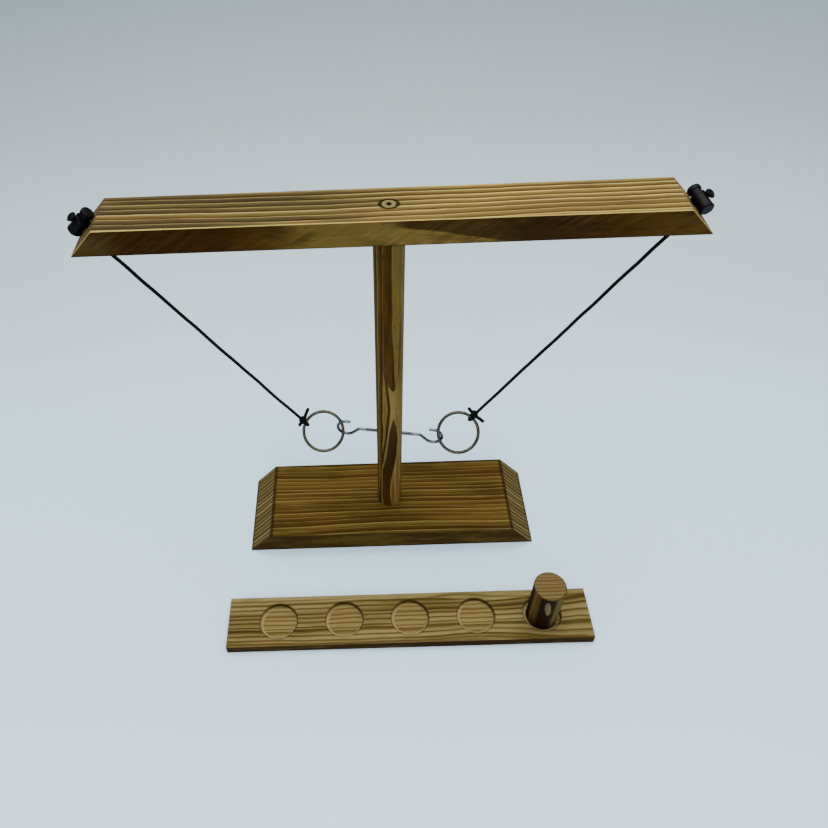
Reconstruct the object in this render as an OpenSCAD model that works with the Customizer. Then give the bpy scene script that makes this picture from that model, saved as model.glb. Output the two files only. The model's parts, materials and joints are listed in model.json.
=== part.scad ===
// Tabletop hook-and-ring game with its score board: a T-shaped pine stand, a screw hook on each
// side of its post, two steel rings on cords that hang from the crossbar's ends, a spring cord
// lock on each sloping end, and a loose board with five recesses and a peg.
// The origin is the centre of the base's underside. +X runs along the crossbar, +Y to the back
// and +Z up. Lengths are in millimetres.

/* [Stand] */
// Length of the crossbar along its underside
bar_length = 450; // [430:5:470]
// Depth of the crossbar from front to back
bar_depth = 44; // [40:1:60]
// Thickness of the crossbar, which is also the run of its 45 degree ends
bar_thickness = 20; // [18:1:24]
// Height of the crossbar's underside
bar_height = 350; // [345:1:355]
// Diameter of the round post
post_d = 24; // [22:1:26]
// Length of the base along its underside
base_length = 290; // [240:5:340]
// Depth of the base from front to back
base_depth = 90; // [80:1:120]
// Thickness of the base
base_thickness = 25; // [20:1:30]
// Run of the base's sloping ends
base_slope = 23; // [15:1:30]

/* [Screws] */
// Length of the countersunk screws that hold the crossbar and the base to the post
screw_length = 50; // [45:5:60]
// Diameter of the screw heads
screw_head_d = 10; // [9:0.5:11]
// Outer diameter of the screw threads
screw_d = 5; // [4.5:0.5:5.5]

/* [Hooks] */
// Height of both hooks' shanks
hook_height = 128; // [120:1:135]
// Turn of the line through both hooks about the post, in degrees
hook_turn = -10; // [-15:1:15]
// Diameter of the hook wire
hook_wire = 2.8; // [2.4:0.1:3]
// Distance from the post's axis to the centre of the curl
hook_reach = 41; // [38:1:44]
// Radius of the curl at the middle of the wire
curl_r = 8.5; // [8:0.5:10]
// Length of the straight end of the curl
hook_tip = 4; // [2:0.5:6]

/* [Rings] */
// Outer diameter of the rings
ring_d = 40.5; // [36:0.5:42]
// Diameter of the ring wire
ring_wire = 3; // [2.4:0.1:3.2]
// Lean of the hooked rings back from upright, in degrees
ring_lean = 45; // [40:1:60]
// Where the left and right ring meet their hooks, in degrees round the ring from +X
contact_angles = [13, 186.5]; // [0:0.5:360]
// Where the left and right knots sit, in degrees round the ring from +X
knot_angles = [152, 48]; // [0:1:180]

/* [Cords] */
// Diameter of the cord
cord_d = 3; // [2:0.1:3]
// Diameter of the cord holes through the crossbar
cord_hole_d = 5; // [5:0.1:6]

/* [Cord locks] */
// Outer diameter of the lock barrels
lock_d = 10.5; // [10:0.1:11]
// Travel of the lock buttons
lock_travel = 3; // [2:0.5:3]
// Turn of the left and right lock on its sloping face, in degrees from front to back
lock_turns = [90, 20]; // [0:5:90]

/* [Score board] */
// Length of the score board
board_length = 340; // [330:5:360]
// Depth of the score board
board_depth = 50; // [45:1:60]
// Thickness of the score board
board_thickness = 10; // [9:1:15]
// Distance of the score board's centre to the right of the post
board_x = 12; // [0:1:20]
// Position of the score board's centre from front to back, with the post at zero
board_y = -130; // [-150:1:-110]
// Diameter of the recesses
recess_d = 35; // [32:1:38]
// Depth of the recesses
recess_depth = 4; // [3:0.5:5]
// Distance between recesses
recess_pitch = 62; // [58:1:64]
// Distance of the middle recess to the right of the board's middle
recess_shift = 1.5; // [0:0.5:2]
// Diameter of the peg
peg_d = 29; // [26:1:31]
// Height of the peg
peg_height = 55; // [40:1:60]

/* [Hidden] */
$fn = 64;

left = -1;
right = 1;
cut = 0.1; // how far a cutter runs past the face that it opens
gap = 0.3; // room between pieces that move against each other

// Colours of the torched pine, the metals, the cord and the plastic
bar_colour = "#a5854a";
base_colour = "#6f5526";
post_colour = "#5f4215";
board_colour = "#8f7338";
peg_colour = "#7d5c2b";
zinc_colour = "#9aa6ae";
steel_colour = "#8d8a80";
brass_colour = "#c9bd88";
cord_colour = "#14110f";
plastic_colour = "#1b191c";

// Screws
screw_head_h = 3;
screw_core_r = 1.75;
screw_plain = 16; // length of the head and the smooth shank under it
screw_pitch = 2.5;
screw_inset = 0.3; // how far the base screw's head sits inside the base

// Hooks
hook_thread_start = 3; // distance of the thread's point from the post's axis
hook_thread_end = 23;
hook_thread_pitch = 1.25;
hook_bend_r = 3;
kink = 45; // the angle at which the shank drops to the curl

// Where each ring's wire lies in its hook: pulled out and up by the cord
pull_angle = 17;
ring_slack = [1.5, 0.3]; // room between the wires of the left and right ring and their hooks
ring_mid_r = (ring_d - ring_wire) / 2;

// Knots
knob_r = 3.2;
knot_tube_r = 1.4;
end_knot_r = 2;
end_knot_length = 6.4;
left_tags = [[6, 5, 11], [-4, -3, -5]];
right_tags = [[-6, 1, 8], [9, -3, -8]];

// Distance of each cord hole from the post's axis
cord_hole_x = 213;

// Cord locks. The barrel's own axis runs from its mouth, which is below zero, to its closed end
lock_r = lock_d / 2;
lock_x = cord_hole_x + 1.5;
barrel_mouth = -4.2;
barrel_end = 10.3;
barrel_bore_r = 4.15;
barrel_floor = 9.3;
button_stem_r = 4;
button_stem_end = 4.5;
button_head_r = 4.8;
button_neck = barrel_mouth - lock_travel - gap;
button_top = button_neck - 4;
cord_way_r = 1.75;
spring_r = 2.9;
spring_wire_r = 0.25;
spring_turns = 3;
slope = 45;

// Route of each free cord from the crossbar's underside to its knot
left_route = [
    [-213, 0, 350], [-205, 0.5, 337], [-197, 1.5, 324], [-189, 2, 310.5], [-181, 3, 297.5],
    [-173, 3.5, 284.5], [-165, 4, 271.5], [-157, 5, 258.5], [-149, 5.5, 245], [-141, 6, 232],
    [-133, 7, 219], [-125, 7.5, 206], [-117, 8.5, 193], [-109, 9, 179.5], [-101, 9.5, 166.5],
    [-92.5, 10.5, 153], [-83.5, 11, 139]
];
right_route = [
    [213, 0, 350], [204.5, 0, 337], [196, 0.5, 324], [188, 0.5, 311.5], [180, 1, 299.5],
    [171.5, 1, 286.5], [163, 1, 273], [155, 1.5, 261], [147, 1.5, 248.5], [138.5, 1.5, 235.5],
    [130, 2, 222.5], [122, 2, 210.5], [114, 2.5, 198], [105.5, 2.5, 185], [97, 2.5, 172],
    [89, 3, 159.5], [81, 3, 147.5]
];
// Route of each cord's held end: up its hole, over the sloping face and through the lock
tail_route = [
    [213, 0, 351.6], [213, 0, 356.5], [213.15, 0, 358.6], [214.35, 0, 360.65],
    [216.4, 0, 362.6], [220, 0, 366], [222.3, 0, 368.3]
];

// Picks the left or the right one of a pair
function of_side(side, pair) = side == left ? pair[0] : pair[1];
function unit(v) = v / norm(v);
function mirrored(route) = [for (p = route) [-p.x, p.y, p.z]];

// The horizontal direction from the post along a hook
function hook_way(side) = side * [cos(hook_turn), sin(hook_turn), 0];
// The middle of the ring's wire where it hangs in its hook
function contact(side) =
    let (r = curl_r - hook_wire / 2 - ring_wire / 2 - of_side(side, ring_slack))
    hook_way(side) * (hook_reach + r * cos(pull_angle))
    + [0, 0, hook_height + r * sin(pull_angle)];
// The direction from a ring's centre to its rim
function in_ring(angle) =
    [cos(angle), sin(angle) * sin(ring_lean), sin(angle) * cos(ring_lean)];
function ring_centre(side) =
    contact(side) - ring_mid_r * in_ring(of_side(side, contact_angles));
function tied_point(side) =
    ring_centre(side) + ring_mid_r * in_ring(of_side(side, knot_angles));
function cord_way(side) =
    unit([side * cord_hole_x, 0, bar_height] - tied_point(side));
function knob_centre(side) =
    tied_point(side) + cord_way(side) * (ring_wire / 2 + knob_r - cut);

// A point halfway between each two of a route, so that its tube has enough rings
function refined(route) = [
    for (i = [0:len(route) - 2]) each [route[i], (route[i] + route[i + 1]) / 2],
    route[len(route) - 1]
];
function heading(path, i) =
    unit(path[min(i + 1, len(path) - 1)] - path[max(i - 1, 0)]);
function section(p, way, up, r, sides) =
    let (a = unit(cross(up, way)), b = cross(way, a))
    [for (k = [0:sides - 1]) p + r * (cos(360 * k / sides) * a + sin(360 * k / sides) * b)];

// A closed tube of radius r along the points of a path; up is never along the path
module tube(path, r, up, sides = 8) {
    last = len(path) - 1;
    points = [for (i = [0:last]) each section(path[i], heading(path, i), up, r, sides)];
    walls = [
        for (i = [0:last - 1], k = [0:sides - 1])
        let (m = (k + 1) % sides, a = i * sides, b = a + sides)
        each [[a + k, b + k, b + m], [a + k, b + m, a + m]]
    ];
    near_end = [for (k = [0:sides - 1]) k];
    far_end = [for (k = [sides - 1:-1:0]) last * sides + k];
    polyhedron(points, concat([near_end], walls, [far_end]));
}

// A round strand of cord from point a to point b, cut off square
module strand(a, b, r) {
    v = b - a;
    translate(a)
        rotate([0, acos(v.z / norm(v)), atan2(v.y, v.x)]) cylinder(h = norm(v), r = r);
}

// A board with vertical faces in front and behind and sloping ends, its underside at z = 0
module sloped_board(length, depth, thickness, run) {
    half = length / 2;
    rotate([90, 0, 0])
        linear_extrude(depth, center = true)
            polygon([[-half, 0], [half, 0], [half - run, thickness], [-half + run, thickness]]);
}

// The countersink and the clearance hole of a screw whose head lies at z = 0
module screw_hole(depth) {
    shank_r = screw_d / 2;
    translate([0, 0, -screw_head_h])
        cylinder(h = screw_head_h, r1 = shank_r, r2 = screw_head_d / 2);
    cylinder(h = screw_inset + cut, r = screw_head_d / 2);
    translate([0, 0, -depth - cut]) cylinder(h = depth + cut, r = shank_r);
}

// A countersunk wood screw, pointing down, with the top of its head at z = 0
module wood_screw() {
    thread_top = screw_plain + 1;
    tip = 6;
    turns = floor((screw_length - thread_top - tip) / screw_pitch);
    color(brass_colour)
        difference() {
            rotate_extrude()
                polygon([
                    [0, 0], [screw_head_d / 2, 0], [screw_d / 2, -screw_head_h],
                    [screw_d / 2, -screw_plain], [screw_core_r, -thread_top],
                    for (i = [0:turns - 1]) each [
                        [screw_core_r, -thread_top - i * screw_pitch - 1],
                        [screw_d / 2, -thread_top - i * screw_pitch - 1.5],
                        [screw_core_r, -thread_top - i * screw_pitch - 2]
                    ],
                    [screw_core_r, -screw_length + tip], [0, -screw_length]
                ]);
            for (turn = [0, 90])
                rotate([0, 0, turn]) translate([-2.4, -0.55, -2]) cube([4.8, 1.1, 2 + cut]);
        }
}

module base_board() {
    color(base_colour)
        difference() {
            sloped_board(base_length, base_depth, base_thickness, base_slope);
            translate([0, 0, screw_inset]) mirror([0, 0, 1]) screw_hole(base_thickness);
        }
}

module base_screw() {
    translate([0, 0, screw_inset]) mirror([0, 0, 1]) wood_screw();
}

module post() {
    in_post_top = screw_length - bar_thickness;
    in_post_foot = screw_length - base_thickness + screw_inset;
    color(post_colour)
        difference() {
            translate([0, 0, base_thickness])
                cylinder(h = bar_height - base_thickness, d = post_d);
            translate([0, 0, base_thickness - cut])
                cylinder(h = in_post_foot + cut, r = screw_core_r);
            translate([0, 0, bar_height - in_post_top])
                cylinder(h = in_post_top + cut, r = screw_core_r);
            for (side = [left, right])
                at_hook(side)
                    translate([hook_thread_start, 0, 0])
                        rotate([0, 90, 0]) cylinder(h = post_d, d = hook_wire);
        }
}

module crossbar() {
    color(bar_colour)
        difference() {
            translate([0, 0, bar_height])
                sloped_board(bar_length, bar_depth, bar_thickness, bar_thickness);
            translate([0, 0, bar_height + bar_thickness]) screw_hole(bar_thickness);
            for (side = [left, right])
                translate([side * cord_hole_x, 0, bar_height - cut])
                    cylinder(h = bar_thickness, d = cord_hole_d);
        }
}

module bar_screw() {
    translate([0, 0, bar_height + bar_thickness]) wood_screw();
}

// Places a hook drawn along +X from the post's axis, with its curl in the XZ plane
module at_hook(side) {
    translate([0, 0, hook_height])
        rotate([0, 0, hook_turn + (side == left ? 180 : 0)]) children();
}

// Part of a round wire bent about the Y axis through the origin, from one angle up to another
module bent_wire(bend_r, from, to) {
    rotate([90, 0, 0])
        rotate([0, 0, from])
            rotate_extrude(angle = to - from) translate([bend_r, 0]) circle(d = hook_wire);
}

module screw_hook() {
    wire_r = hook_wire / 2;
    weld = 0.02; // how far the straight stretches stand round the bent ones that they join
    ridge_r = wire_r + 0.4;
    drop = curl_r * sin(kink);
    joint_x = hook_reach - curl_r * cos(kink);
    bend_x = joint_x - drop - hook_bend_r * tan(kink / 2);
    straight = (joint_x - bend_x - hook_bend_r * sin(kink)) / cos(kink);
    thread_x = hook_thread_start + 3;
    ridges = floor((hook_thread_end - thread_x) / hook_thread_pitch);
    color(zinc_colour) {
        // Point, thread and shank
        rotate([0, 90, 0])
            rotate_extrude()
                polygon([
                    [0, hook_thread_start], [wire_r, thread_x],
                    for (i = [0:ridges - 1]) each [
                        [wire_r, thread_x + 0.2 + i * hook_thread_pitch],
                        [ridge_r, thread_x + 0.6 + i * hook_thread_pitch],
                        [wire_r, thread_x + 1 + i * hook_thread_pitch]
                    ],
                    [wire_r, bend_x - cut], [wire_r + weld, bend_x - cut],
                    [wire_r + weld, bend_x + cut], [0, bend_x + cut]
                ]);
        // Bend down, straight drop and curl
        translate([bend_x, 0, -hook_bend_r]) bent_wire(hook_bend_r, 90 - kink, 90);
        translate([joint_x, 0, -drop])
            rotate([0, -kink, 0])
                translate([0, 0, -cut]) cylinder(h = straight + 2 * cut, r = wire_r + weld);
        translate([hook_reach, 0, 0]) bent_wire(curl_r, kink - 180, 90);
        // Straight end with a rounded tip
        translate([hook_reach, 0, curl_r])
            rotate([0, -90, 0])
                rotate_extrude()
                    polygon([
                        [0, -cut], [wire_r + weld, -cut], [wire_r + weld, hook_tip - 0.6],
                        [wire_r * 0.8, hook_tip - 0.2],
                        [wire_r * 0.4, hook_tip], [0, hook_tip]
                    ]);
    }
}

module left_hook() at_hook(left) screw_hook();
module right_hook() at_hook(right) screw_hook();

// Places a piece drawn on the XY plane round a ring's centre, turned to an angle round the rim
module on_ring(side, angle = 0) {
    translate(ring_centre(side)) rotate([90 - ring_lean, 0, 0]) rotate([0, 0, angle]) children();
}

module ring(side) {
    color(steel_colour)
        on_ring(side) rotate_extrude() translate([ring_mid_r, 0]) circle(d = ring_wire);
}

module left_ring() ring(left);
module right_ring() ring(right);

// The loop round the ring's wire, the knot over it and the two cut ends of the cord
module knot(side, tags) {
    color(cord_colour) {
        on_ring(side, of_side(side, knot_angles))
            translate([ring_mid_r, 0, 0])
                rotate([90, 0, 0])
                    rotate_extrude()
                        translate([ring_wire / 2 + knot_tube_r - cut, 0]) circle(r = knot_tube_r);
        translate(knob_centre(side)) sphere(knob_r);
        for (tag = tags)
            strand(knob_centre(side), knob_centre(side) + tag, knot_tube_r);
    }
}

module left_knot() knot(left, left_tags);
module right_knot() knot(right, right_tags);

module left_cord() color(cord_colour) tube(refined(left_route), cord_d / 2, [0, 1, 0]);
module right_cord() color(cord_colour) tube(refined(right_route), cord_d / 2, [0, 1, 0]);

module left_cord_tail() color(cord_colour) tube(mirrored(tail_route), cord_d / 2, [0, 1, 0]);
module right_cord_tail() color(cord_colour) tube(tail_route, cord_d / 2, [0, 1, 0]);

// Places a cord lock: its cord way along +Z from the sloping face, its button towards +Y
module at_lock(side) {
    translate([side * lock_x, 0, bar_height + bar_length / 2 - lock_x])
        rotate([0, side * slope, 0])
            rotate([0, 0, side * of_side(side, lock_turns)])
                children();
}

// Lays a lock's round pieces down: their own Z axis then runs to the barrel's closed end
module along_lock() {
    translate([0, 0, lock_r + gap]) rotate([90, 0, 0]) children();
}

// A stop knot that lies along the top of its lock, with a short cut end
module end_knot(side) {
    half = end_knot_length / 2;
    color(cord_colour)
        at_lock(side)
            translate([0, 0, lock_d + 2 * gap + end_knot_r]) {
                rotate([90, 0, 0])
                    rotate_extrude()
                        polygon([
                            [0, -half], [end_knot_r * 0.6, -half + 0.4], [end_knot_r, -half + 1.6],
                            [end_knot_r, half - 1.6], [end_knot_r * 0.6, half - 0.4], [0, half]
                        ]);
                strand([0, 0, 0], [1.2, -5, 0.4], knot_tube_r);
            }
}

module left_end_knot() end_knot(left);
module right_end_knot() end_knot(right);

module lock_barrel(side) {
    edge = 0.8;
    rim = 0.25;
    color(plastic_colour)
        at_lock(side)
            difference() {
                along_lock()
                    rotate_extrude()
                        polygon([
                            [barrel_bore_r, barrel_mouth], [lock_r - rim, barrel_mouth],
                            [lock_r, barrel_mouth + rim], [lock_r, barrel_mouth + 2],
                            [lock_r - rim, barrel_mouth + 2.4], [lock_r - rim, barrel_end - 2.4],
                            [lock_r, barrel_end - 2], [lock_r, barrel_end - edge],
                            [lock_r - edge, barrel_end], [0, barrel_end],
                            [0, barrel_floor], [barrel_bore_r, barrel_floor]
                        ]);
                cylinder(h = lock_d + 2 * gap, r = cord_way_r);
            }
}

module left_lock_barrel() lock_barrel(left);
module right_lock_barrel() lock_barrel(right);

module lock_button(side) {
    dome = 1.2;
    color(plastic_colour)
        at_lock(side)
            difference() {
                along_lock()
                    rotate_extrude()
                        polygon([
                            [0, button_top], [button_head_r - dome, button_top],
                            [button_head_r - dome / 3, button_top + dome / 3],
                            [button_head_r, button_top + dome],
                            [button_head_r, button_neck - 0.4], [button_head_r - 0.4, button_neck],
                            [button_stem_r, button_neck], [button_stem_r, button_stem_end],
                            [0, button_stem_end]
                        ]);
                for (y = [0, lock_travel])
                    translate([0, y, 0]) cylinder(h = lock_d + 2 * gap, r = cord_way_r);
                translate([-cord_way_r, 0, 0])
                    cube([2 * cord_way_r, lock_travel, lock_d + 2 * gap]);
            }
}

module left_lock_button() lock_button(left);
module right_lock_button() lock_button(right);

module lock_spring(side) {
    steps = 12 * spring_turns;
    start = button_stem_end + spring_wire_r + 0.05;
    rise = barrel_floor - 2 * spring_wire_r - 0.1 - button_stem_end;
    coil = [
        for (i = [0:steps])
        [spring_r * cos(30 * i), spring_r * sin(30 * i), start + rise * i / steps]
    ];
    color(zinc_colour)
        at_lock(side) along_lock() tube(coil, spring_wire_r, [0, 0, 1], 6);
}

module left_lock_spring() lock_spring(left);
module right_lock_spring() lock_spring(right);

module score_board() {
    color(board_colour)
        translate([board_x, board_y, 0])
            difference() {
                translate([-board_length / 2, -board_depth / 2, 0])
                    cube([board_length, board_depth, board_thickness]);
                for (i = [-2:2])
                    translate([recess_shift + i * recess_pitch, 0, board_thickness - recess_depth])
                        cylinder(h = recess_depth + cut, d = recess_d);
            }
}

module score_peg() {
    edge = 0.6;
    peg_r = peg_d / 2;
    color(peg_colour)
        translate([
            board_x + recess_shift + 2 * recess_pitch, board_y, board_thickness - recess_depth
        ])
            rotate_extrude()
                polygon([
                    [0, 0], [peg_r - edge, 0], [peg_r, edge], [peg_r, peg_height - edge],
                    [peg_r - edge, peg_height], [0, peg_height]
                ]);
}

base_board();
base_screw();
post();
crossbar();
bar_screw();
left_hook();
right_hook();
left_ring();
right_ring();
left_knot();
right_knot();
left_cord();
right_cord();
left_cord_tail();
right_cord_tail();
left_end_knot();
right_end_knot();
left_lock_barrel();
right_lock_barrel();
left_lock_button();
right_lock_button();
left_lock_spring();
right_lock_spring();
score_board();
score_peg();
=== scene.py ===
# Looks of the tabletop hook-and-ring game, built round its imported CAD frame. Everything is in
# metres in the row frame: +X along the crossbar, +Y to the back, +Z up, the base on z = 0.
import json
import math

import bpy
import numpy as np
from mathutils import Matrix, Vector


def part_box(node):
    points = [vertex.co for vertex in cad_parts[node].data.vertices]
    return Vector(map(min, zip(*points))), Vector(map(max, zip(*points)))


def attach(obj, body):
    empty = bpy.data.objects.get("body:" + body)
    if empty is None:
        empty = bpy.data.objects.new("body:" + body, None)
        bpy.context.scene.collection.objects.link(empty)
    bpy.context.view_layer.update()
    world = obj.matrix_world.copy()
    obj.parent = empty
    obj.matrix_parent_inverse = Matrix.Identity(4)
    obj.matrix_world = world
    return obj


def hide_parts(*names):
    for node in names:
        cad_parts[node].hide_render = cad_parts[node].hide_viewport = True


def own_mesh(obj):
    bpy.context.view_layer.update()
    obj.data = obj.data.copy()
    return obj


MM = 0.001
SIDES = {"left": -1, "right": 1}

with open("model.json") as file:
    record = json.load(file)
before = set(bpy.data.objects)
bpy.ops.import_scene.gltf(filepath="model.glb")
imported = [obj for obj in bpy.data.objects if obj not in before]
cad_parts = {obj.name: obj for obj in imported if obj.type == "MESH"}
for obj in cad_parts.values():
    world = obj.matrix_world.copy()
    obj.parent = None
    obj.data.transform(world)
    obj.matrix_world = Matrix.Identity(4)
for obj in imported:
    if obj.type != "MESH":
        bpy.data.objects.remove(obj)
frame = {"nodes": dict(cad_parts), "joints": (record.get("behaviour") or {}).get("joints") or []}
nodes = frame["nodes"]
joints = {joint["name"]: joint for joint in frame["joints"]}
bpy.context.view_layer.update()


# ---- Camera -------------------------------------------------------------------------------

def make_camera():
    """A camera at the photograph's place: about 47 degrees up, in front and a little left."""
    place = Vector((-18.77, -450.84, 644.57)) * MM
    target = Vector((-27.13, 0, 153.96)) * MM
    roll = math.radians(-2.678)
    ahead = (target - place).normalized()
    level = ahead.cross(Vector((0, 0, 1))).normalized()
    above = level.cross(ahead)
    right = math.cos(roll) * level + math.sin(roll) * above
    up = math.cos(roll) * above - math.sin(roll) * level
    data = bpy.data.cameras.new("camera")
    data.sensor_width = 36
    data.lens = 31.53
    data.shift_x = 0.0654
    data.clip_start = 0.01
    camera = bpy.data.objects.new("camera", data)
    camera.matrix_world = Matrix.Translation(place) @ Matrix((right, up, -ahead)).transposed().to_4x4()
    bpy.context.scene.collection.objects.link(camera)
    bpy.context.scene.camera = camera


make_camera()


# ---- Mesh tools ---------------------------------------------------------------------------

def add_mesh(name, verts, faces, smooth=True):
    mesh = bpy.data.meshes.new(name)
    mesh.from_pydata([tuple(v) for v in verts], [], faces)
    mesh.polygons.foreach_set("use_smooth", [smooth] * len(mesh.polygons))
    mesh.update()
    piece = bpy.data.objects.new(name, mesh)
    bpy.context.scene.collection.objects.link(piece)
    return piece


def run_of(path):
    """The length of a line through its points."""
    return np.linalg.norm(np.diff(path, axis=0), axis=1).sum()


def spaced(points, step):
    """The same line with its points a step apart."""
    points = np.array(points, float)
    run = np.concatenate([[0], np.cumsum(np.linalg.norm(np.diff(points, axis=0), axis=1))])
    stops = np.linspace(0, run[-1], max(2, round(run[-1] / step) + 1))
    return np.stack([np.interp(stops, run, points[:, k]) for k in range(3)], axis=1)


def curve_through(points, step):
    """A smooth curve through given points, with its points a step apart."""
    p = np.array(points, float)
    p = np.vstack([2 * p[0] - p[1], p, 2 * p[-1] - p[-2]])
    dense = []
    for a, b, c, d in zip(p, p[1:], p[2:], p[3:]):
        for t in np.linspace(0, 1, 24, endpoint=False):
            dense.append(0.5 * (2 * b + (c - a) * t + (2 * a - 5 * b + 4 * c - d) * t * t
                                + (3 * b - a - 3 * c + d) * t ** 3))
    return spaced(dense + [p[-2]], step)


def carried_frames(path, closed):
    """Two unit vectors square to the path at each of its points, carried along without twist."""
    if closed:
        ahead = np.roll(path, -1, axis=0) - np.roll(path, 1, axis=0)
    else:
        ahead = np.gradient(path, axis=0)
    ahead /= np.linalg.norm(ahead, axis=1)[:, None]
    helper = np.eye(3)[np.argmin(np.abs(ahead[0]))]
    normal = np.cross(ahead[0], helper)
    normals = []
    for way in ahead:
        normal = normal - way * (normal @ way)
        normal = normal / np.linalg.norm(normal)
        normals.append(normal)
    normals = np.array(normals)
    return normals, np.cross(ahead, normals)


def sweep(name, path, radius, sides=20, closed=False):
    """A tube along a path. radius(distance, angle) works on arrays, in metres and radians."""
    path = np.array(path, float)
    steps = np.linalg.norm(np.diff(path, axis=0), axis=1)
    distance = np.concatenate([[0], np.cumsum(steps)])[:, None]
    angle = np.linspace(0, 2 * math.pi, sides, endpoint=False)[None, :]
    r = np.broadcast_to(radius(distance, angle), (len(path), sides))[..., None]
    normal, side = carried_frames(path, closed)
    rings = (path[:, None, :] + r * (np.cos(angle)[..., None] * normal[:, None, :]
                                     + np.sin(angle)[..., None] * side[:, None, :]))
    count = len(path)
    faces = []
    for i in range(count if closed else count - 1):
        j = (i + 1) % count
        for k in range(sides):
            m = (k + 1) % sides
            faces.append((i * sides + k, i * sides + m, j * sides + m, j * sides + k))
    if not closed:
        faces.append(tuple(reversed(range(sides))))
        faces.append(tuple((count - 1) * sides + k for k in range(sides)))
    return add_mesh(name, rings.reshape(-1, 3), faces)


def join(name, pieces):
    """One object made of several."""
    verts, faces = [], []
    for piece in pieces:
        start = len(verts)
        verts += [v.co.copy() for v in piece.data.vertices]
        faces += [tuple(start + v for v in p.vertices) for p in piece.data.polygons]
        bpy.data.objects.remove(piece)
    return add_mesh(name, verts, faces)


# ---- Cords --------------------------------------------------------------------------------

CORD_D = 3 * MM
KNOT_CORD_D = 3.2 * MM
END_KNOT_CORD_D = 2.6 * MM
BRAID_PITCH = 7 * MM
PATH_STEP = 0.3 * MM

# The routes of part.scad, in metres: each free cord from the crossbar's underside to its knot
ROUTES = {
    "left": [
        (-0.213, 0, 0.350), (-0.205, 0.0005, 0.337), (-0.197, 0.0015, 0.324),
        (-0.189, 0.002, 0.3105), (-0.181, 0.003, 0.2975), (-0.173, 0.0035, 0.2845),
        (-0.165, 0.004, 0.2715), (-0.157, 0.005, 0.2585), (-0.149, 0.0055, 0.245),
        (-0.141, 0.006, 0.232), (-0.133, 0.007, 0.219), (-0.125, 0.0075, 0.206),
        (-0.117, 0.0085, 0.193), (-0.109, 0.009, 0.1795), (-0.101, 0.0095, 0.1665),
        (-0.0925, 0.0105, 0.153), (-0.0835, 0.011, 0.139),
    ],
    "right": [
        (0.213, 0, 0.350), (0.2045, 0, 0.337), (0.196, 0.0005, 0.324),
        (0.188, 0.0005, 0.3115), (0.180, 0.001, 0.2995), (0.1715, 0.001, 0.2865),
        (0.163, 0.001, 0.273), (0.155, 0.0015, 0.261), (0.147, 0.0015, 0.2485),
        (0.1385, 0.0015, 0.2355), (0.130, 0.002, 0.2225), (0.122, 0.002, 0.2105),
        (0.114, 0.0025, 0.198), (0.1055, 0.0025, 0.185), (0.097, 0.0025, 0.172),
        (0.089, 0.003, 0.1595), (0.081, 0.003, 0.1475),
    ],
}
# Each cord's held end, up its hole and through the lock; the left one is its mirror image
TAIL_ROUTE = [
    (0.213, 0, 0.3516), (0.213, 0, 0.3565), (0.21315, 0, 0.3586), (0.21435, 0, 0.36065),
    (0.2164, 0, 0.3626), (0.220, 0, 0.366), (0.2223, 0, 0.3683),
]


def braided(diameter=CORD_D, melted=()):
    """The radius of a round braid. melted holds the distances of cut ends, which are rounded."""
    def radius(distance, angle):
        wind = 2 * math.pi * distance / BRAID_PITCH
        ridges = np.maximum(np.cos(4 * (angle - wind)), np.cos(4 * (angle + wind)))
        r = diameter / 2 * (0.95 + 0.05 * ridges)
        for end in melted:
            near = np.clip(np.abs(distance - end) / (0.9 * MM), 0, 1)
            r = r * np.sqrt(1 - (1 - near) ** 2 + 0.02)
        return r
    return radius


def make_cord(side):
    path = curve_through(ROUTES[side], PATH_STEP)
    cord = sweep(side + "_cord_braid", path, braided(), sides=24)
    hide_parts(side + "_cord")
    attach(cord, side + "_cord")
    return cord, path


def make_tail(side):
    route = [(SIDES[side] * x, y, z) for x, y, z in TAIL_ROUTE]
    tail = sweep(side + "_cord_tail_braid", curve_through(route, PATH_STEP), braided(), sides=24)
    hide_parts(side + "_cord_tail")
    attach(tail, "stand")
    return tail


RING_LEAN = math.radians(45)
KNOT_ANGLES = {"left": math.radians(152), "right": math.radians(48)}
# Where each knot's two cut ends point from its middle, in millimetres
TAGS = {"left": [(6, 5, 11), (-4, -3, -5)], "right": [(-6, 1, 8), (9, -3, -8)]}
KNOT_LOOP_R = 2.85
RING_D = 40.5 * MM
RING_WIRE_R = 1.5 * MM
RING_R = RING_D / 2 - RING_WIRE_R


def ring_axes(side):
    """A ring's centre and the two directions in its plane."""
    low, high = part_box(side + "_ring")
    centre = (Vector(low) + Vector(high)) / 2
    return centre, Vector((1, 0, 0)), Vector((0, math.sin(RING_LEAN), math.cos(RING_LEAN)))


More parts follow.
